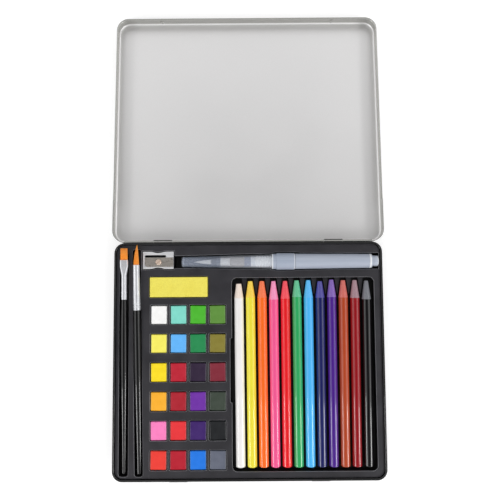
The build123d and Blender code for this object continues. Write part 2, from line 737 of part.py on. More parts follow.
export_step(flat_brush_hair.part, "parts/flat_brush_hair.step")

# Round brush: handle
round_plane = lying(round_heel, round_tip)
round_axis = Axis(round_plane.origin, round_plane.z_dir)
round_length = (Vector(*round_tip) - Vector(*round_heel)).length
round_handle_length = round_length - round_hair - round_ferrule
round_mouth = round_length - round_hair
with BuildPart() as round_brush_handle:
    round_handle_face = handle_face(
        round_plane, round_handle_length, round_heel_radius, round_swell, round_ferrule_radius
    )
    revolve(round_handle_face, axis=round_axis)
round_brush_handle.part.label = "round_brush_handle"
export_step(round_brush_handle.part, "parts/round_brush_handle.step")

# Round brush: ferrule, a tapered tube with two crimped beads
mouth_radius = round_hair_radius + ferrule_slack + ferrule_wall
bead_start = round_handle_length + ferrule_bead_pitch
taper_start = round_handle_length + peg_length + peg_end_gap
bead_profile = []
for bead in range(ferrule_bead_count):
    foot = bead_start + bead * ferrule_bead_pitch
    bead_profile += [
        (foot - 3 * ferrule_bead, round_ferrule_radius),
        (foot - ferrule_bead, round_ferrule_radius + ferrule_bead),
        (foot + ferrule_bead, round_ferrule_radius + ferrule_bead),
        (foot + 3 * ferrule_bead, round_ferrule_radius),
    ]
ferrule_face = outline(
    lengthwise(round_plane),
    (round_handle_length, round_ferrule_radius - ferrule_wall),
    (round_handle_length, round_ferrule_radius),
    *bead_profile,
    (taper_start, round_ferrule_radius),
    (round_mouth, mouth_radius),
    (round_mouth, mouth_radius - ferrule_wall),
    (taper_start, round_ferrule_radius - ferrule_wall),
)
with BuildPart() as round_brush_ferrule:
    revolve(ferrule_face, axis=round_axis)
round_brush_ferrule.part.label = "round_brush_ferrule"
export_step(round_brush_ferrule.part, "parts/round_brush_ferrule.step")

# Round brush: hairs that draw to a point
round_hairs = tuft(
    round_plane,
    round_places(round_hair_radius),
    round_mouth - strand,
    round_hair + strand,
    round_hair_pinch,
    round_hair_short,
)
with BuildPart() as round_brush_hair:
    with BuildSketch(round_plane.offset(round_mouth - hair_root)):
        Circle(round_hair_radius)
    extrude(amount=hair_root)
    add(round_hairs)
round_brush_hair.part.label = "round_brush_hair"
export_step(round_brush_hair.part, "parts/round_brush_hair.step")

# Water brush: all its turned pieces share this plane, X along the brush
water_plane = Plane(origin=(0, water_y, water_z), x_dir=(1, 0, 0), z_dir=(0, 0, 1))
water_axis = Axis(water_plane.origin, water_plane.x_dir)
# Plane across the water brush, Z towards the tip of its hairs
hair_plane = Plane(origin=(tuft_start, water_y, water_z), x_dir=(0, 1, 0), z_dir=(-1, 0, 0))

water_hairs = tuft(
    hair_plane, round_places(tuft_radius), -strand, tuft_length + strand, tuft_pinch, tuft_short
)
with BuildPart() as water_brush_hair:
    with BuildSketch(hair_plane.offset(-hair_root)):
        Circle(tuft_radius)
    extrude(amount=hair_root)
    add(water_hairs)
water_brush_hair.part.label = "water_brush_hair"
export_step(water_brush_hair.part, "parts/water_brush_hair.step")

nozzle_profile = []
for rib in range(nozzle_rib_count):
    rib_start = tuft_start + nozzle_rib_place + rib * nozzle_rib_pitch
    rise = (nozzle_root_radius - nozzle_tip_radius) * (rib_start - tuft_start) / (nozzle_end - tuft_start)
    shaft = nozzle_tip_radius + rise
    nozzle_profile += [
        (rib_start, shaft),
        (rib_start, shaft + nozzle_rib_height),
        (rib_start + nozzle_rib_pitch / 2, shaft + nozzle_rib_height),
        (rib_start + nozzle_rib_pitch / 2, shaft),
    ]
nozzle_face = outline(
    water_plane,
    (tuft_start, tuft_radius + ferrule_slack),
    (tuft_start, nozzle_tip_radius),
    *nozzle_profile,
    (nozzle_end, nozzle_root_radius),
    (nozzle_end, water_way),
    (tuft_start + hair_root + ferrule_slack, water_way),
    (tuft_start + hair_root + ferrule_slack, tuft_radius + ferrule_slack),
)
with BuildPart() as water_brush_nozzle:
    revolve(nozzle_face, axis=water_axis)
water_brush_nozzle.part.label = "water_brush_nozzle"
export_step(water_brush_nozzle.part, "parts/water_brush_nozzle.step")

feed_face = outline(
    water_plane,
    (nozzle_end, water_way),
    (nozzle_end, feed_radius - feed_edge),
    (nozzle_end + feed_edge, feed_radius),
    (feed_end, feed_radius),
    (feed_end, water_way),
)
with BuildPart() as water_brush_feed:
    revolve(feed_face, axis=water_axis)
water_brush_feed.part.label = "water_brush_feed"
export_step(water_brush_feed.part, "parts/water_brush_feed.step")

# Front grip, with the ring-shaped ribs that the cap pushes over
grip_profile = []
ribs_start = collar_start - grip_rib_count * grip_rib_pitch
rib_top, rib_top_end, rib_foot = (share * grip_rib_pitch for share in grip_rib_shape)
for rib in range(grip_rib_count):
    rib_start = ribs_start + rib * grip_rib_pitch
    grip_profile += [
        (rib_start, grip_radius),
        (rib_start + rib_top, grip_radius + grip_rib_height),
        (rib_start + rib_top_end, grip_radius + grip_rib_height),
        (rib_start + rib_foot, grip_radius),
    ]
grip_face = outline(
    water_plane,
    (feed_end, water_way),
    (feed_end, grip_radius - grip_edge),
    *grip_profile,
    (collar_start, grip_radius),
    (collar_start, water_way),
)
with BuildPart() as water_brush_grip:
    revolve(grip_face, axis=water_axis)
water_brush_grip.part.label = "water_brush_grip"
export_step(water_brush_grip.part, "parts/water_brush_grip.step")

bore_start = collar_end - neck_length - neck_running
collar_face = outline(
    water_plane,
    (collar_start, water_way),
    (collar_start, collar_small_radius),
    (collar_step, collar_small_radius),
    (collar_step + collar_edge, collar_radius),
    (collar_end - collar_edge, collar_radius),
    (collar_end, collar_radius - collar_edge),
    (collar_end, neck_radius + neck_running),
    (bore_start, neck_radius + neck_running),
    (bore_start, water_way),
)
with BuildPart() as water_brush_collar:
    revolve(collar_face, axis=water_axis)
water_brush_collar.part.label = "water_brush_collar"
export_step(water_brush_collar.part, "parts/water_brush_collar.step")

# Squeezable reservoir: its neck turns in the collar, its rear end takes the plug
reservoir_front = collar_end + neck_running
stub_radius = reservoir_rear_radius - reservoir_wall
reservoir_face = outline(
    water_plane,
    (collar_end - neck_length, neck_radius - reservoir_wall),
    (collar_end - neck_length, neck_radius),
    (reservoir_front, neck_radius),
    (reservoir_front, reservoir_front_radius - reservoir_edge),
    (reservoir_front + reservoir_edge, reservoir_front_radius),
    (reservoir_end, reservoir_rear_radius),
    (reservoir_end, stub_radius),
    (reservoir_front + reservoir_wall, reservoir_front_radius - reservoir_wall),
    (reservoir_front + reservoir_wall, neck_radius - reservoir_wall),
)
with BuildPart() as water_brush_reservoir:
    revolve(reservoir_face, axis=water_axis)
water_brush_reservoir.part.label = "water_brush_reservoir"
export_step(water_brush_reservoir.part, "parts/water_brush_reservoir.step")

plug_face = outline(
    water_plane,
    (reservoir_end - plug_stub_length, 0),
    (reservoir_end - plug_stub_length, stub_radius - ferrule_slack),
    (reservoir_end, stub_radius - ferrule_slack),
    (reservoir_end, reservoir_rear_radius),
    (reservoir_end + plug_flange, reservoir_rear_radius),
    (reservoir_end + plug_flange, plug_radius),
    (plug_end - plug_edge, plug_radius),
    (plug_end, plug_radius - plug_edge),
    (plug_end, 0),
)
with BuildPart() as water_brush_plug:
    revolve(plug_face, axis=water_axis)
water_brush_plug.part.label = "water_brush_plug"
export_step(water_brush_plug.part, "parts/water_brush_plug.step")

# Clear cap over the hairs, the nozzle and the grip
cap_face = outline(
    water_plane,
    (cap_start, 0),
    (cap_start, cap_tip_radius - cap_edge),
    (cap_start + cap_edge, cap_tip_radius),
    (cap_end - cap_lip_length, cap_mouth_radius),
    (cap_end - cap_lip_length, cap_mouth_radius + cap_lip),
    (cap_end, cap_mouth_radius + cap_lip),
    (cap_end, cap_mouth_radius - cap_wall),
    (cap_start + cap_wall, cap_tip_radius - cap_wall),
    (cap_start + cap_wall, 0),
)
with BuildPart() as water_brush_cap:
    revolve(cap_face, axis=water_axis)
water_brush_cap.part.label = "water_brush_cap"
export_step(water_brush_cap.part, "parts/water_brush_cap.step")

# Colour pencils: solid colour core with a lacquered body, one for each colour
for number, (colour, worn, bare) in enumerate(pencils):
    tip_x = first_pencil_tip_x + number * pencil_tip_pitch
    end_x = first_pencil_end_x + number * pencil_end_pitch
    end_y = pencil_tip_y - pencil_length
    pencil_plane = lying((end_x, end_y, pencil_axis_z), (tip_x, pencil_tip_y, pencil_axis_z))
    length = pencil_length - worn
    pencil_face = outline(
        lengthwise(pencil_plane),
        (0, 0),
        (0, pencil_radius),
        (length - bare, pencil_radius),
        (length, pencil_radius - bare * cone_slope),
        (length, 0),
    )
    pencil_axis = Axis(pencil_plane.origin, pencil_plane.z_dir)
    with BuildPart() as pencil:
        revolve(pencil_face, axis=pencil_axis)
        fillet(pencil.faces().sort_by(pencil_axis)[0].edges(), pencil_end_round)
        fillet(pencil.faces().sort_by(pencil_axis)[-1].edges(), pencil_tip_round)
    pencil.part.label = f"pencil_{colour}"
    export_step(pencil.part, f"parts/pencil_{colour}.step")

print("hairs", len(flat_places), len(round_places(round_hair_radius)), len(round_places(tuft_radius)))
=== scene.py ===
from math import cos, pi, radians, sin

import bmesh
import bpy
from mathutils import Euler, Matrix, Vector, noise


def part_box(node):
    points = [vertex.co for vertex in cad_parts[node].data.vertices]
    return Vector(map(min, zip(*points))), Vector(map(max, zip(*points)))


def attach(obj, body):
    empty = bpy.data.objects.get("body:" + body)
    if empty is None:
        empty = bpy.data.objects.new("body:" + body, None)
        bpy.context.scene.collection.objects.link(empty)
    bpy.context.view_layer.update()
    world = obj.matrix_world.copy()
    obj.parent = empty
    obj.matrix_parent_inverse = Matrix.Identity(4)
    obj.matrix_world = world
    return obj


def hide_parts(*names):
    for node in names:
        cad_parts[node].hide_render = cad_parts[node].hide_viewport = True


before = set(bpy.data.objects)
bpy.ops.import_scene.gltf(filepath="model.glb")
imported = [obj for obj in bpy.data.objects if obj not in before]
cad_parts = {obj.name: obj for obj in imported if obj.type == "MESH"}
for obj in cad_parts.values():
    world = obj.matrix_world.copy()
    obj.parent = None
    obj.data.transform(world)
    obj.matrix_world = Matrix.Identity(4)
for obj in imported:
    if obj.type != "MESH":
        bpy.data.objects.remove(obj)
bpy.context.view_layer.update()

# The camera looks down over the middle of the open tin, from about as high as the
# open tin is long. It is tilted by under four degrees and turned by under half a one.
camera_place = (0.001425, 0.061702, 0.38767)
camera_tilt = 3.722
camera_roll = -0.404
focal_pixels = 471.16
frame_pixels = 500
sensor = 36.0
camera_data = bpy.data.cameras.new("camera")
camera_data.sensor_width = sensor
camera_data.lens = sensor * focal_pixels / frame_pixels
camera_data.clip_start = 0.01
camera = bpy.data.objects.new("camera", camera_data)
camera.rotation_mode = "ZYX"
camera.rotation_euler = (radians(camera_tilt), 0.0, radians(camera_roll))
camera.location = camera_place
bpy.context.scene.collection.objects.link(camera)
bpy.context.scene.camera = camera
bpy.context.scene.view_settings.view_transform = "Standard"

# Studio light: on each side of the table a long soft box lies along the tin and
# draws a lengthwise highlight on each pencil and handle. Its lamps, just before the
# cloth and near its front end, strengthen the highlights there, more on the right.
box_angle = 57.0          # from the upright, seen from the middle of the tin
box_width = 0.15
tin_middle = Vector((0.0, 0.05, 0.0))
box_sides = ((-1, "left", 0.88), (1, "right", 1.12))
soft_boxes = {
    # Length, middle, distance and power of what glows
    "cloth": (1.9, 0.0, 0.95, 1.7),
    "lamps": (0.5, -0.56, 0.93, 2.8),
}
for part, (length, ahead, distance, power) in soft_boxes.items():
    for side, word, share in box_sides:
        box_data = bpy.data.lights.new(f"{part}_{word}", "AREA")
        box_data.shape = "RECTANGLE"
        box_data.size = box_width
        box_data.size_y = length
        box_data.energy = power * share
        soft_box = bpy.data.objects.new(f"{part}_{word}", box_data)
        turn = Euler((0.0, side * radians(box_angle), 0.0))
        soft_box.rotation_euler = turn
        soft_box.location = tin_middle + turn.to_matrix() @ Vector((0.0, ahead, distance))
        bpy.context.scene.collection.objects.link(soft_box)

# The room: pale walls, dark overhead and a little to the front where the camera's
# stand is, so that black pieces stay black and the lid darkens towards its hinge.


def join(tree, source, target):
    """Links one node's output to another node's input."""
    tree.links.new(source, target)


def node(tree, kind, **settings):
    """Adds a node; a setting is one of its inputs by name, or a property of it."""
    made = tree.nodes.new(kind)
    for key, value in settings.items():
        label = key.replace("_", " ").title()
        if label in made.inputs:
            made.inputs[label].default_value = value
        else:
            setattr(made, key, value)
    return made


def reach(tree, vector, way):
    """How far a vector reaches in one direction."""
    measured = node(tree, "ShaderNodeVectorMath", operation="DOT_PRODUCT")
    join(tree, vector, measured.inputs[0])
    measured.inputs[1].default_value = way
    return measured.outputs["Value"]


def grey(level):
    """A linear grey, or a plain number where a colour socket carries one."""
    return (level, level, level, 1.0)


stand_lean = radians(5.0)
horizon_level, stand_level = 0.5, 0.04
dome_steps = ((0.35, 0.68), (0.55, 0.95), (0.76, 0.95), (0.84, 0.78), (0.9, 0.38), (0.94, 0.09))
room = bpy.data.worlds.new("room")
bpy.context.scene.world = room
room.use_nodes = True
sky = room.node_tree
sky.nodes.clear()
direction = node(sky, "ShaderNodeTexCoord").outputs["Generated"]
towards_stand = reach(sky, direction, (0.0, -sin(stand_lean), cos(stand_lean)))
dome = node(sky, "ShaderNodeValToRGB")
dome.color_ramp.elements[0].color = grey(horizon_level)
dome.color_ramp.elements[1].color = grey(stand_level)
for nearness, level in dome_steps:
    dome.color_ramp.elements.new(nearness).color = grey(level)
join(sky, towards_stand, dome.inputs["Fac"])
rays = node(sky, "ShaderNodeLightPath")
open_sky = node(sky, "ShaderNodeMixRGB", color2=grey(1))
join(sky, rays.outputs["Is Camera Ray"], open_sky.inputs["Fac"])
join(sky, dome.outputs["Color"], open_sky.inputs["Color1"])
back = node(sky, "ShaderNodeBackground", strength=1.0)
join(sky, open_sky.outputs["Color"], back.inputs["Color"])
sky_out = node(sky, "ShaderNodeOutputWorld")
join(sky, back.outputs["Background"], sky_out.inputs["Surface"])

# The table: plain white card. What the camera sees of it, straight or through clear
# plastic, is lifted to white, and the tin's soft shadow stays on it.
table_size = 6.0
card_level = 0.8
lift_strength = 0.42


def larger(tree, first, second):
    """The larger of two values."""
    picked = node(tree, "ShaderNodeMath", operation="MAXIMUM")
    join(tree, first, picked.inputs[0])
    join(tree, second, picked.inputs[1])
    return picked.outputs[0]


sheet_mesh = bmesh.new()
bmesh.ops.create_grid(sheet_mesh, x_segments=1, y_segments=1, size=table_size / 2)
table_data = bpy.data.meshes.new("table_top")
sheet_mesh.to_mesh(table_data)
sheet_mesh.free()
table_top = bpy.data.objects.new("table_top", table_data)
bpy.context.scene.collection.objects.link(table_top)
card = bpy.data.materials.new("white_card")
card.use_nodes = True
tree = card.node_tree
tree.nodes.clear()
card_face = node(tree, "ShaderNodeBsdfDiffuse", color=grey(card_level))
lift = node(tree, "ShaderNodeEmission", strength=lift_strength)
seen = node(tree, "ShaderNodeLightPath").outputs
nothing = node(tree, "ShaderNodeBsdfTransparent", color=(0, 0, 0, 1))
lifted = node(tree, "ShaderNodeMixShader")
join(tree, larger(tree, seen["Is Camera Ray"], seen["Is Transmission Ray"]), lifted.inputs["Fac"])
join(tree, nothing.outputs[0], lifted.inputs[1])
join(tree, lift.outputs[0], lifted.inputs[2])
both = node(tree, "ShaderNodeAddShader")
join(tree, card_face.outputs[0], both.inputs[0])
join(tree, lifted.outputs[0], both.inputs[1])
card_out = node(tree, "ShaderNodeOutputMaterial")
join(tree, both.outputs[0], card_out.inputs["Surface"])
table_data.materials.append(card)

# Lower half of the tin: thin steel sheet with a deep-drawn wall and a rim rolled
# inwards, stoved in gloss black. The paint has a faint orange peel, duller thumb
# marks and hairline scratches.


def paint(red, green, blue):
    """A colour as it shows on screen, 0 to 255 each, as the renderer wants it."""
    levels = [value / 255 for value in (red, green, blue)]
    linear = [(v / 12.92 if v <= 0.04045 else ((v + 0.055) / 1.055) ** 2.4) for v in levels]
    return (*linear, 1.0)


def surface(name, colour, roughness, **settings):
    """A new material: its tree, its shader, and its place coordinates in metres."""
    made = bpy.data.materials.new(name)
    made.use_nodes = True
    its_tree = made.node_tree
    shader = its_tree.nodes["Principled BSDF"]
    shader.inputs["Base Color"].default_value = colour
    shader.inputs["Roughness"].default_value = roughness
    for key, value in settings.items():
        shader.inputs[key.replace("_", " ")].default_value = value
    place = node(its_tree, "ShaderNodeTexCoord").outputs["Object"]
    return made, its_tree, shader, place


def grain(its_tree, place, scale, detail=4.0, stretch=(1, 1, 1), turn=(0, 0, 0)):
    """Noise over a piece, 0 to 1; scale is in grains a metre."""
    mapping = node(its_tree, "ShaderNodeMapping", scale=stretch, rotation=turn)
    join(its_tree, place, mapping.inputs["Vector"])
    texture = node(its_tree, "ShaderNodeTexNoise", scale=scale, detail=detail)
    join(its_tree, mapping.outputs["Vector"], texture.inputs["Vector"])
    return texture.outputs["Fac"]


def between(its_tree, value, low_in, high_in, low_out, high_out):
    """Carries a value from one range to another, held at the ends."""
    carried = node(its_tree, "ShaderNodeMapRange")
    join(its_tree, value, carried.inputs["Value"])
    carried.inputs["From Min"].default_value = low_in
    carried.inputs["From Max"].default_value = high_in
    carried.inputs["To Min"].default_value = low_out
    carried.inputs["To Max"].default_value = high_out
    return carried.outputs["Result"]


def varied(its_tree, noisy, low, high):
    """Carries the middle of a noise, where nearly all of it lies, to a new range."""
    return between(its_tree, noisy, 0.3, 0.7, low, high)


def blend_colours(its_tree, amount, first, second):
    """Goes from the first colour to the second as amount goes from 0 to 1."""
    mixed = node(its_tree, "ShaderNodeMixRGB")
    for label, colour in (("Fac", amount), ("Color1", first), ("Color2", second)):
        if isinstance(colour, (tuple, float)):
            mixed.inputs[label].default_value = colour
        else:
            join(its_tree, colour, mixed.inputs[label])
    return mixed.outputs["Color"]


def mottled(its_tree, noisy, first, second, low=0.3, high=0.7):
    """Two colours, the second where a noise is high."""
    return blend_colours(its_tree, between(its_tree, noisy, low, high, 0, 1), first, second)


def relief(its_tree, shader, height, depth, strength=1.0, under=None):
    """Bumps a surface by a height; depth is in metres."""
    bumped = node(its_tree, "ShaderNodeBump", distance=depth, strength=strength)
    join(its_tree, height, bumped.inputs["Height"])
    if under is not None:
        join(its_tree, under, bumped.inputs["Normal"])
    join(its_tree, bumped.outputs["Normal"], shader.inputs["Normal"])
    return bumped.outputs["Normal"]


def dress(name, material):
    """Gives a CAD node its material."""
    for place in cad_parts[name].material_slots:
        place.material = material


stoved_black = paint(12, 12, 14)
enamel, tree, shader, place = surface(
    "black_enamel", stoved_black, 0.1, Coat_Weight=0.6, Coat_Roughness=0.05
)
thumb_marks = grain(tree, place, 45, 3)
join(tree, varied(tree, thumb_marks, 0.07, 0.14), shader.inputs["Roughness"])
peel = grain(tree, place, 900, 2)
relief(tree, shader, peel, 0.00001, 0.1)
scratch = grain(tree, place, 260, 2, (1, 14, 14))
scuffed = mottled(tree, scratch, stoved_black, paint(30, 30, 33), 0.68, 0.74)
join(tree, scuffed, shader.inputs["Base Color"])
for name in ("base_tin", "hinge_tongue_left", "hinge_tongue_right"):
    dress(name, enamel)

# Lid: bare tinplate. Its panel is satin, with a faint grain along the rolling
# direction, cloudy patches of wiped oil, and fine scratches from use. The press has
# burnished its walls and rolled rim, which are smoother; their darker colour is
# painted shade.
tinplate, tree, shader, place = surface("satin_tinplate", paint(240, 239, 239), 0.43, Metallic=0.68)
cloud = grain(tree, place, 16, 3)
rolling = grain(tree, place, 900, 3, (1, 0.03, 1))
speck = grain(tree, place, 2200, 2)
wiped = mottled(tree, cloud, paint(239, 238, 238), paint(242, 241, 241))
specked = mottled(tree, speck, paint(236, 235, 235), paint(246, 245, 245), 0.35, 0.65)
panel_tone = blend_colours(tree, 0.4, wiped, specked)
scratch = grain(tree, place, 180, 2, (9, 1, 9), (0, 0, 0.5))
scratched = blend_colours(
    tree, between(tree, scratch, 0.7, 0.75, 0, 0.5), panel_tone, paint(244, 244, 245)
)
lid_lean = radians(2.1638)
hinge_y, hinge_z, panel_drop = 0.09318, 0.0153, 0.0079
panel_level = hinge_y * sin(lid_lean) + hinge_z * cos(lid_lean) - panel_drop
wall_shade_from, wall_shade_full = 0.0008, 0.0016      # metres above the panel
burnished_roughness = 0.26
above = reach(tree, place, (0.0, sin(lid_lean), cos(lid_lean)))
# Up the walls and rim the colour darkens as painted shade, and the roughness drops.
wall_shade_and_burnish = between(tree, above, panel_level + wall_shade_from, panel_level + wall_shade_full, 0, 1)
join(tree, blend_colours(tree, wall_shade_and_burnish, scratched, paint(184, 184, 180)), shader.inputs["Base Color"])
satin = varied(tree, cloud, 0.41, 0.46)
smoothed = blend_colours(tree, wall_shade_and_burnish, satin, grey(burnished_roughness))
join(tree, smoothed, shader.inputs["Roughness"])
relief(tree, shader, rolling, 0.00001, 0.25, relief(tree, shader, speck, 0.00001, 0.2))
dress("lid_tin", tinplate)

# Tray: one thick sheet of black polystyrene, vacuum formed. Its top has a fine matt
# grain and some dust, and its rounded edges are polished; a painted highlight makes
# them greyer, and painted shade makes the insides of the wells deep black.


def split(its_tree, vector):
    """The X, Y and Z of a vector."""
    parted = node(its_tree, "ShaderNodeSeparateXYZ")
    join(its_tree, vector, parted.inputs[0])
    return parted.outputs


def facing(its_tree):
    """The X, Y and Z of the way that the surface looks."""
    return split(its_tree, node(its_tree, "ShaderNodeNewGeometry").outputs["True Normal"])


styrene, tree, shader, place = surface("black_styrene", paint(44, 44, 47), 0.45)
film = grain(tree, place, 60, 4)
pebble = grain(tree, place, 1600, 3)
dust = between(tree, grain(tree, place, 700, 6), 0.64, 0.72, 0, 0.5)
shade = mottled(tree, film, paint(40, 39, 43), paint(46, 45, 50))
dusty = blend_colours(tree, dust, shade, paint(70, 70, 73))
up = facing(tree)["Z"]
level_share = between(tree, up, 0.55, 0.97, 0, 1)
upright_share = between(tree, up, 0.1, 0.4, 1, 0)
flat_share = larger(tree, level_share, upright_share)
# Rounded edges, between level and upright faces, get a pale grey as a painted highlight.
edges_highlighted = blend_colours(tree, flat_share, paint(180, 180, 186), dusty)
wells_under, wells_over = 0.0101, 0.0107         # heights between which the wells begin
# Below the top of the wells and on upright faces the colour goes near black, as painted shade.
sunk_shade_share = between(tree, split(tree, place)["Z"], wells_under, wells_over, 1, 0)
well_shade = larger(tree, sunk_shade_share, upright_share)
join(tree, blend_colours(tree, well_shade, edges_highlighted, paint(14, 14, 16)), shader.inputs["Base Color"])
edge_roughness = 0.15
matt = varied(tree, film, 0.36, 0.5)
join(tree, blend_colours(tree, flat_share, grey(edge_roughness), matt), shader.inputs["Roughness"])
relief(tree, shader, pebble, 0.00004, 0.4)
dress("tray", styrene)

# Paint cakes: dry pressed watercolour, glued in their wells. The top is a little
# powdery, blotched and pitted, with painted shade in the pits; the bevels at its left
# and right are pressed smooth, and a painted highlight makes them paler than the face.
cake_paints = {
    "white": (254, 253, 252), "mint": (130, 222, 205), "leaf_green": (75, 185, 45),
    "olive_green": (95, 145, 60), "lemon": (252, 242, 100), "sky_blue": (100, 185, 255),
    "deep_green": (35, 140, 80), "khaki": (135, 125, 50), "yellow": (255, 225, 30),
    "crimson": (190, 30, 50), "violet_black": (45, 30, 55), "maroon": (130, 40, 55),
    "orange_yellow": (255, 180, 45), "dark_red": (175, 30, 45), "purple": (110, 45, 165),
    "green_grey": (60, 70, 60), "pink": (255, 130, 195), "scarlet": (235, 50, 55),
    "deep_violet": (60, 30, 105), "black": (25, 27, 30), "vermilion": (240, 60, 50),
    "carmine": (185, 25, 45), "blue": (30, 120, 230), "grey": (100, 105, 120),
}
white = (255, 255, 255)
black = (0, 0, 0)
bevel_roughness = 0.2


def shaded(colour, towards, share):
    """A screen colour moved part of the way to another."""
    return tuple(value + (aim - value) * share for value, aim in zip(colour, towards))


for name, colour in cake_paints.items():
    cake, tree, shader, place = surface(
        f"pressed_paint_{name}", paint(*colour), 0.62, Specular_IOR_Level=0.25
    )
    blotch = grain(tree, place, 240, 4)
    powder = grain(tree, place, 3600, 5)
    pits = between(tree, grain(tree, place, 1500, 2), 0.66, 0.74, 0, 1)
    darker, paler = paint(*shaded(colour, black, 0.03)), paint(*shaded(colour, white, 0.02))
    body = mottled(tree, blotch, darker, paler, 0.32, 0.68)
    powdered = between(tree, powder, 0.5, 0.8, 0, 0.2)
    dusted = blend_colours(tree, powdered, body, paint(*shaded(colour, white, 0.2)))
    # The pits are darkened as painted shade.
    pits_shaded = blend_colours(tree, pits, dusted, paint(*shaded(colour, black, 0.15)))
    sideways = node(tree, "ShaderNodeMath", operation="ABSOLUTE")
    join(tree, facing(tree)["X"], sideways.inputs[0])
    # Faces that lean left or right are made paler as a painted highlight, and smoother.
    bevel_highlight_and_smooth = between(tree, sideways.outputs[0], 0.4, 0.65, 0, 0.8)
    bevels_highlighted = blend_colours(tree, bevel_highlight_and_smooth, pits_shaded, paint(*shaded(colour, white, 0.45)))
    join(tree, bevels_highlighted, shader.inputs["Base Color"])
    dull = varied(tree, blotch, 0.45, 0.65)
    smoothed = blend_colours(tree, bevel_highlight_and_smooth, dull, grey(bevel_roughness))
    join(tree, smoothed, shader.inputs["Roughness"])
    relief(tree, shader, powder, 0.00003, 0.25, relief(tree, shader, pits, -0.00005, 0.4))
    dress(f"cake_{name}", cake)

# Sponge: a block cut from yellow foam, its faces full of open cells of two sizes,
# its edges torn a little soft, and the cells darkened as painted shade. It lies loose
# in its well, just proud of the tray.
foam_step = 0.00042
foam_round = 0.0005
cell_size = 0.0006
pin_size = cell_size * 0.45
cell_depth = 0.0003
cell_reach, pin_reach, pin_share = 0.55, 0.5, 0.4
skin_depth = 0.00006
foam_low, foam_high = (Vector(corner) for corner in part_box("sponge"))
foam_size = foam_high - foam_low
foam_mesh = bmesh.new()
bmesh.ops.create_cube(foam_mesh, size=1.0)
bmesh.ops.scale(foam_mesh, vec=foam_size, verts=foam_mesh.verts)
bmesh.ops.translate(foam_mesh, vec=(foam_low + foam_high) / 2, verts=foam_mesh.verts)
for axis, length in enumerate(foam_size):
    cuts = int(length / foam_step)
    for cut in range(1, cuts):
        at = Vector(foam_low)
        at[axis] += length * cut / cuts
        way = Vector((0, 0, 0))
        way[axis] = 1
        everything = foam_mesh.verts[:] + foam_mesh.edges[:] + foam_mesh.faces[:]
        bmesh.ops.bisect_plane(foam_mesh, geom=everything, plane_co=at, plane_no=way)
core_low = foam_low + Vector((foam_round, foam_round, foam_round))
core_high = foam_high - Vector((foam_round, foam_round, foam_round))
for vert in foam_mesh.verts:
    core = Vector([min(max(v, a), b) for v, a, b in zip(vert.co, core_low, core_high)])
    out = (vert.co - core).normalized()
    vert.co = core + out * foam_round
    from_cell = noise.voronoi(vert.co / cell_size)[0][0]
    from_pin = noise.voronoi(vert.co / pin_size)[0][0]
    pore = max(0.0, cell_reach - from_cell) + pin_share * max(0.0, pin_reach - from_pin)
    vert.co -= out * (skin_depth + cell_depth * pore)
foam_data = bpy.data.meshes.new("sponge_foam")
foam_mesh.to_mesh(foam_data)
foam_mesh.free()
sponge_foam = bpy.data.objects.new("sponge_foam", foam_data)
bpy.context.scene.collection.objects.link(sponge_foam)
foam, tree, shader, place = surface("yellow_foam", paint(240, 226, 92), 0.9, Specular_IOR_Level=0.15)
cells = node(tree, "ShaderNodeTexVoronoi", scale=1 / cell_size)
join(tree, place, cells.inputs["Vector"])
small_cells = node(tree, "ShaderNodeTexVoronoi", scale=2.4 / cell_size)
join(tree, place, small_cells.inputs["Vector"])
tint = mottled(tree, grain(tree, place, 120, 3), paint(244, 230, 98), paint(248, 236, 108))
# The hollows of the cells and pin holes are darkened as painted shade.
cell_shade_share = between(tree, cells.outputs["Distance"], 0.15, 0.42, 0.4, 0)
cells_shaded = blend_colours(tree, cell_shade_share, tint, paint(186, 168, 44))
pin_shade_share = between(tree, small_cells.outputs["Distance"], 0.1, 0.35, 0.25, 0)
pin_holes_shaded = blend_colours(tree, pin_shade_share, cells_shaded, paint(160, 142, 34))
join(tree, pin_holes_shaded, shader.inputs["Base Color"])
relief(tree, shader, small_cells.outputs["Distance"], 0.0002, 0.6)
foam_data.materials.append(foam)
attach(sponge_foam, "sponge")
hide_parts("sponge")

# Sharpener: die-cast magnesium alloy, tumbled to a soft grey and darkened below its
# top as painted shade from its well, with a ground steel blade let in flush and held
# by a slotted brass screw.
cast, tree, shader, place = surface("cast_alloy", paint(232, 232, 235), 0.4, Metallic=0.5)
tumble = grain(tree, place, 1300, 4)
stain = grain(tree, place, 160, 3)
tumbled = mottled(tree, stain, paint(224, 224, 228), paint(240, 240, 242))
well_shade_full, well_shade_end = 0.0133, 0.0139             # heights between which the dark ends
# Below its top the body is painted dark, as the shade of the well around it.
well_shade_below_top = between(tree, split(tree, place)["Z"], well_shade_full, well_shade_end, 1, 0)
join(tree, blend_colours(tree, well_shade_below_top, tumbled, paint(58, 58, 62)), shader.inputs["Base Color"])
join(tree, varied(tree, tumble, 0.3, 0.5), shader.inputs["Roughness"])
relief(tree, shader, tumble, 0.00005, 0.3)
dress("sharpener_body", cast)
blade, tree, shader, place = surface("ground_steel", paint(170, 164, 157), 0.32, Metallic=0.5)
grind = grain(tree, place, 2600, 3, (0.06, 1, 1))
ground = mottled(tree, grind, paint(158, 152, 145), paint(180, 174, 167), 0.35, 0.65)
join(tree, ground, shader.inputs["Base Color"])
join(tree, varied(tree, grain(tree, place, 300, 3), 0.24, 0.4), shader.inputs["Roughness"])
relief(tree, shader, grind, 0.00002, 0.4)
dress("sharpener_blade", blade)
screw, tree, shader, place = surface("turned_brass", paint(238, 214, 196), 0.2, Metallic=0.35)
lathe = grain(tree, place, 2400, 3)
turned = mottled(tree, lathe, paint(230, 204, 184), paint(246, 226, 210), 0.35, 0.65)
join(tree, turned, shader.inputs["Base Color"])
join(tree, varied(tree, grain(tree, place, 700, 2), 0.14, 0.28), shader.inputs["Roughness"])
relief(tree, shader, lathe, 0.00002, 0.4)
dress("sharpener_screw", screw)

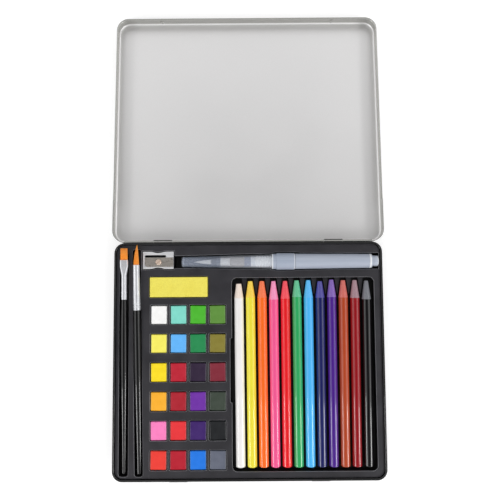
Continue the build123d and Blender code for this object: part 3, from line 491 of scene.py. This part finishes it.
# Brush handles: turned beech dipped several times in black lacquer, glossy, with
# a few rubbed spots and the faint waves of the dipping.
dipped_black = paint(10, 10, 11)
lacquer, tree, shader, place = surface(
    "black_lacquer", dipped_black, 0.06, Coat_Weight=0.4, Coat_Roughness=0.03
)
dip = grain(tree, place, 130, 2, (1, 0.25, 1))
rubs = grain(tree, place, 520, 4, (1, 0.3, 1))
rubbed = mottled(tree, rubs, dipped_black, paint(34, 32, 31), 0.66, 0.76)
join(tree, rubbed, shader.inputs["Base Color"])
join(tree, varied(tree, dip, 0.04, 0.08), shader.inputs["Roughness"])
relief(tree, shader, dip, 0.00001, 0.1)
for word in ("flat", "round"):
    dress(f"{word}_brush_handle", lacquer)

# Ferrules: drawn aluminium tube, polished, crimped on the handle in two beads. The
# drawing leaves fine lines along it, and fingers leave greyer patches.
ferrule, tree, shader, place = surface("drawn_aluminium", paint(230, 231, 236), 0.2, Metallic=0.5)
drawn = grain(tree, place, 4200, 2, (1, 0.02, 1))
thumbed = grain(tree, place, 240, 3)
polished = mottled(tree, thumbed, paint(226, 227, 232), paint(237, 238, 242))
join(tree, polished, shader.inputs["Base Color"])
join(tree, varied(tree, drawn, 0.16, 0.26), shader.inputs["Roughness"])
for word in ("flat", "round"):
    dress(f"{word}_brush_ferrule", ferrule)

# Hairs of the two brushes: soft orange nylon, hundreds of tapered hairs set in the
# ferrule's mouth. The flat tuft is cut straight, the round one draws to a point.
hair_radius = 0.00013
thinnest = 0.25           # of the hair's radius, at its tip
hair_wander = 0.00004
wander_scale = 9000
golden_turn = 2.39996     # spreads the hairs of a disc evenly


def hair_colour(name, root_colour, tip_colour, root, tip):
    """Nylon hair that goes from one colour to another from its root to its tip."""
    made, its_tree, its_shader, where = surface(name, paint(*tip_colour), 0.42, Specular_IOR_Level=0.4)
    way = (tip - root).normalized()
    start = root.dot(way)
    along = reach(its_tree, where, way)
    run = between(its_tree, along, start, start + (tip - root).length, 0, 1)
    streak = grain(its_tree, where, 2600, 2)
    base = blend_colours(its_tree, run, paint(*root_colour), paint(*tip_colour))
    dark = paint(*shaded(root_colour, black, 0.3))
    streaked = blend_colours(its_tree, between(its_tree, streak, 0.42, 0.7, 0, 0.3), base, dark)
    join(its_tree, streaked, its_shader.inputs["Base Color"])
    relief(its_tree, its_shader, streak, 0.00003, 0.3)
    return made


def tuft(name, root, tip, level, places, pinch, belly, droop, bend=0.0):
    """Tapered hairs from places across the mouth at root. Pinch is the share of its
    width that the tuft keeps at its tip, belly how far it swells midway, droop how late
    it narrows, and bend how far its tip leans sideways, in metres."""
    axis = (tip - root).normalized()
    across = level.normalized()
    over = axis.cross(across).normalized()
    length = (tip - root).length
    one = bmesh.new()
    bmesh.ops.create_cone(
        one, cap_ends=True, segments=4, radius1=hair_radius, radius2=hair_radius * thinnest, depth=1.0,
        matrix=Matrix.Translation((0, 0, 0.5)),
    )
    sides = [edge for edge in one.edges if abs(edge.verts[0].co.z - edge.verts[1].co.z) > 0.5]
    bmesh.ops.subdivide_edges(one, edges=sides, cuts=4)
    one_hair = bpy.data.meshes.new("one_hair")
    one.to_mesh(one_hair)
    one.free()
    hairs = bmesh.new()
    for x, y, share in places:
        wander = hair_wander * noise.noise(Vector((x * wander_scale, y * wander_scale, 1.3)))
        hairs.from_mesh(one_hair)
        hairs.verts.ensure_lookup_table()
        for vert in hairs.verts[-len(one_hair.vertices):]:
            far = vert.co.z
            along = far * share
            drawn_in = 1 - (1 - pinch) * along ** droop + belly * sin(pi * along) * (1 - pinch)
            side = x * drawn_in + vert.co.x + wander * far * far + bend * along * along
            rise = y * drawn_in + vert.co.y
            vert.co = root + across * side + over * rise + axis * (length * share * far)
    bpy.data.meshes.remove(one_hair)
    data = bpy.data.meshes.new(name)
    bmesh.ops.recalc_face_normals(hairs, faces=hairs.faces[:])
    hairs.to_mesh(data)
    hairs.free()
    made = bpy.data.objects.new(name, data)
    bpy.context.scene.collection.objects.link(made)
    return made


def disc_places(radius, pitch, short):
    """Places that fill a disc evenly; the outer hairs end a little short of the tip."""
    places = []
    count = int((radius / pitch) ** 2 * pi)
    for step in range(count):
        ring = (step / count) ** 0.5
        turn = step * golden_turn
        ragged = 0.5 + 0.5 * noise.noise(Vector((step * 0.37, 0.2, 0.7)))
        share = 1 - short * ring ** 2 - 0.03 * ragged
        places.append((radius * ring * cos(turn), radius * ring * sin(turn), share))
    return places


level = Vector((1, 0, 0))
hidden_root = 0.0004      # of each hair, inside the ferrule
orange_root = (255, 160, 50)
flat_heel, flat_tip = Vector((-0.09755, -0.0875, 0.0113)), Vector((-0.0982, 0.088, 0.0159))
flat_hair_length = 0.0094
flat_root = flat_tip - (flat_tip - flat_heel).normalized() * (flat_hair_length + hidden_root)
flat_half_width, flat_half_thick = 0.0028, 0.0008
flat_places = []
flat_pitch = 0.00017
flat_reach, flat_ragged = 0.985, 0.015
for column in range(int(2 * flat_half_width / flat_pitch) + 1):
    for row in range(int(2 * flat_half_thick / flat_pitch) + 1):
        x = -flat_half_width + column * flat_pitch + 0.5 * flat_pitch * (row % 2)
        y = -flat_half_thick + row * flat_pitch
        end = max(abs(x) - (flat_half_width - flat_half_thick), 0)
        if end * end + y * y < flat_half_thick ** 2:
            ragged = noise.noise(Vector((x * 5000, y * 5000, 4.2)))
            flat_places.append((x, y, flat_reach + flat_ragged * ragged))
flat_tuft = tuft("flat_brush_tuft", flat_root, flat_tip, level, flat_places, 0.98, 0.04, 1.0)
flat_tuft.data.materials.append(
    hair_colour("orange_nylon_flat", orange_root, (255, 172, 76), flat_root, flat_tip)
)
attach(flat_tuft, "flat_brush")
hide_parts("flat_brush_hair")

round_heel, round_tip = Vector((-0.08557, -0.0876, 0.011)), Vector((-0.0886, 0.09075, 0.01675))
round_hair_length = 0.0161
round_bend = 0.0009
round_root = round_tip - (round_tip - round_heel).normalized() * (round_hair_length + hidden_root)
round_places = disc_places(0.00198, 0.00015, 0.2)
round_tuft = tuft("round_brush_tuft", round_root, round_tip, level, round_places, 0.1, 0.12, 1.25, round_bend)
round_tuft.data.materials.append(
    hair_colour("orange_nylon_round", orange_root, (255, 172, 74), round_root, round_tip)
)
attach(round_tuft, "round_brush")
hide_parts("round_brush_hair")

# Water brush: white nylon hairs in a grey nozzle, a feed, a ribbed grip that the
# cap pushes over, a collar, and a soft squeezable reservoir with its plug. All of it
# is injection moulded polypropylene, milky and barely see-through; the cap is clear.
water_root, water_tip = Vector((-0.029, 0.0768, 0.0125)), Vector((-0.0434, 0.0768, 0.0125))
water_places = disc_places(0.00182, 0.00016, 0.25)
water_tuft = tuft("water_brush_tuft", water_root, water_tip, Vector((0, 1, 0)), water_places, 0.1, 0.1, 1.2)
water_tuft.data.materials.append(
    hair_colour("white_nylon", (246, 246, 245), (255, 255, 255), water_root, water_tip)
)
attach(water_tuft, "water_brush")
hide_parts("water_brush_hair")

band_blur = 0.00015
water_plastics = {
    # Bands of tint: where along X each starts, in millimetres; then roughness and cover
    "nozzle": ([(-29.4, (98, 100, 108)), (-25.2, (124, 128, 140)), (-22.0, (216, 217, 220))], 0.25, 0.95),
    "feed": ([(-14.5, (158, 154, 154))], 0.25, 0.95),
    "grip": ([(-3.0, (104, 117, 148)), (2.0, (222, 228, 236)), (5.5, (244, 247, 250))], 0.15, 0.96),
    "collar": ([(18.7, (226, 230, 236)), (19.6, (166, 176, 194)), (36.2, (222, 226, 232))], 0.16, 0.94),
    "reservoir": ([(37.0, (174, 182, 198)), (95.9, (238, 240, 244))], 0.2, 0.94),
    "plug": ([(93.6, (238, 240, 244)), (97.2, (184, 192, 207)), (102.2, (228, 232, 238))], 0.2, 0.94),
    "cap": ([(-52.6, (214, 224, 244)), (-50.9, (172, 182, 202)), (-22.0, (206, 211, 221))], 0.06, 0.22),
}


def milky(name, bands, roughness, alpha):
    """Moulded polypropylene with fine flow lines and small scuffs, in bands of tint."""
    made, its_tree, its_shader, where = surface(name, paint(*bands[0][1]), roughness, Alpha=alpha)
    along = split(its_tree, where)["X"]
    tint = paint(*bands[0][1])
    for start, colour in bands[1:]:
        metres = start / 1000
        past = between(its_tree, along, metres - band_blur, metres + band_blur, 0, 1)
        tint = blend_colours(its_tree, past, tint, paint(*colour))
    flow = grain(its_tree, where, 900, 3, (0.05, 1, 1))
    flow_share = between(its_tree, flow, 0.35, 0.65, 0.06, 0)
    scuff_share = between(its_tree, grain(its_tree, where, 900, 5), 0.68, 0.76, 0, 0.25)
    streaked = blend_colours(its_tree, flow_share, tint, grey(1.0))
    scuffed = blend_colours(its_tree, scuff_share, streaked, paint(236, 238, 242))
    join(its_tree, scuffed, its_shader.inputs["Base Color"])
    worn = varied(its_tree, flow, roughness * 0.85, roughness * 1.15)
    join(its_tree, worn, its_shader.inputs["Roughness"])
    return made


for name, (bands, roughness, alpha) in water_plastics.items():
    dress(f"water_brush_{name}", milky(f"polypropylene_{name}", bands, roughness, alpha))

# Colour pencils: a solid stick of colour, dipped in lacquer of its own colour and
# then sharpened, so that the cone is the bare, duller and paler stick. A sharp
# edge of lacquer runs round where the cone begins.
pencil_paints = {
    # Lacquer, bare stick, length of the bare cone in millimetres
    "white": ((245, 242, 240), (250, 232, 218), 11.3), "yellow": ((243, 229, 62), (255, 215, 70), 12.8),
    "orange": ((255, 110, 30), (255, 120, 70), 13.0), "pink": ((247, 90, 150), (255, 155, 200), 14.5),
    "red": ((237, 28, 36), (255, 75, 90), 13.9), "green": ((45, 170, 95), (95, 200, 150), 13.1),
    "sky_blue": ((75, 185, 250), (85, 190, 255), 13.8), "navy": ((25, 30, 95), (75, 70, 160), 12.9),
    "purple": ((75, 30, 140), (130, 95, 185), 13.7), "rust": ((180, 70, 35), (215, 105, 95), 13.6),
    "dark_red": ((150, 15, 25), (165, 135, 145), 13.9), "black": ((10, 10, 12), (120, 122, 130), 14.7),
}
lacquer_edge = 0.00008    # how far the lacquer thins out before the cone
cone_edge = 0.00002       # and past its start
bare_roughness = 0.5
for name, (colour, core_colour, bare_length) in pencil_paints.items():
    cone_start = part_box(f"pencil_{name}")[1][1] - bare_length / 1000
    coat, tree, shader, place = surface(
        f"lacquer_{name}", paint(*colour), 0.1, Coat_Weight=0.4, Coat_Roughness=0.04
    )
    along = split(tree, place)["Y"]
    bare = between(tree, along, cone_start - lacquer_edge, cone_start + cone_edge, 0, 1)
    blotch = grain(tree, place, 220, 3, (1, 0.3, 1))
    wax = grain(tree, place, 1500, 5)
    turning = node(
        tree, "ShaderNodeTexWave", wave_type="BANDS", bands_direction="Y", scale=420, distortion=3.0
    )
    join(tree, place, turning.inputs["Vector"])
    nicks = between(tree, grain(tree, place, 620, 4, (1, 0.5, 1)), 0.72, 0.78, 0, 0.4)
    darker, paler = paint(*shaded(colour, black, 0.02)), paint(*shaded(colour, white, 0.02))
    dipped = mottled(tree, blotch, darker, paler)
    nicked = blend_colours(tree, nicks, dipped, paint(*shaded(colour, core_colour, 0.6)))
    darker, paler = paint(*shaded(core_colour, black, 0.06)), paint(*shaded(core_colour, white, 0.04))
    waxy = mottled(tree, wax, darker, paler, 0.35, 0.65)
    turning_share = between(tree, turning.outputs["Fac"], 0.3, 0.9, 0, 0.25)
    turned = blend_colours(tree, turning_share, waxy, paint(*shaded(core_colour, colour, 0.6)))
    join(tree, blend_colours(tree, bare, nicked, turned), shader.inputs["Base Color"])
    gloss = varied(tree, blotch, 0.06, 0.11)
    join(tree, blend_colours(tree, bare, gloss, grey(bare_roughness)), shader.inputs["Roughness"])
    relief(tree, shader, wax, 0.00001, 0.15, relief(tree, shader, bare, -0.00008, 0.6))
    dress(f"pencil_{name}", coat)
